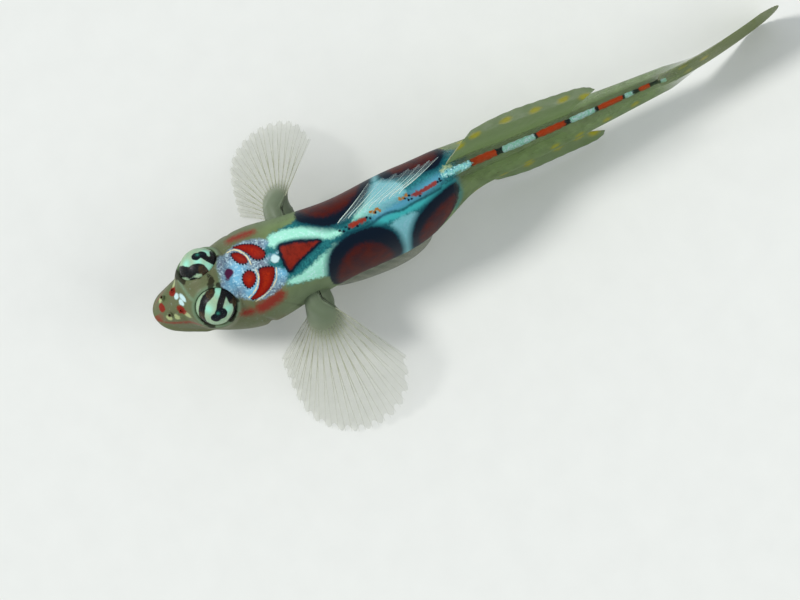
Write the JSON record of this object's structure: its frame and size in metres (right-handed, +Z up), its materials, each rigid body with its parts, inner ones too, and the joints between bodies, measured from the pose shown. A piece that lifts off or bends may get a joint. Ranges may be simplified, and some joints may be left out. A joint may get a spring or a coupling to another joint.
{
  "type": "orangesided goby fish model",
  "caption": "Life-size still model of a small reef goby perched on its pelvic disc, with spread side fins, folded back fins and a half-closed rounded tail fin.",
  "frame": {"origin": "on the flat underside of the pelvic disc's rim, at its front end and in its middle, at ground level", "axes": "+Y along the body towards the tail fin, +Z up, +X to the fish's left side"},
  "size_m": [0.0118, 0.024, 0.0067],
  "materials": {
    "skin": "wet, clear olive skin with dark red and pale blue-green marks",
    "eye": "glossy, pale green with dark radial stripes and a black pupil",
    "fin": "clear, slightly frosted membrane with pale rays"
  },
  "bodies": {
    "root": {"head": "skin", "trunk": "skin", "tail": "skin", "eye_left": "eye", "eye_right": "eye", "first_dorsal_fin": "fin", "second_dorsal_fin": "fin", "anal_fin": "fin", "caudal_fin": "fin", "pectoral_fin_left": "fin", "pectoral_fin_right": "fin", "pelvic_disc": "fin"}
  },
  "joints": []
}
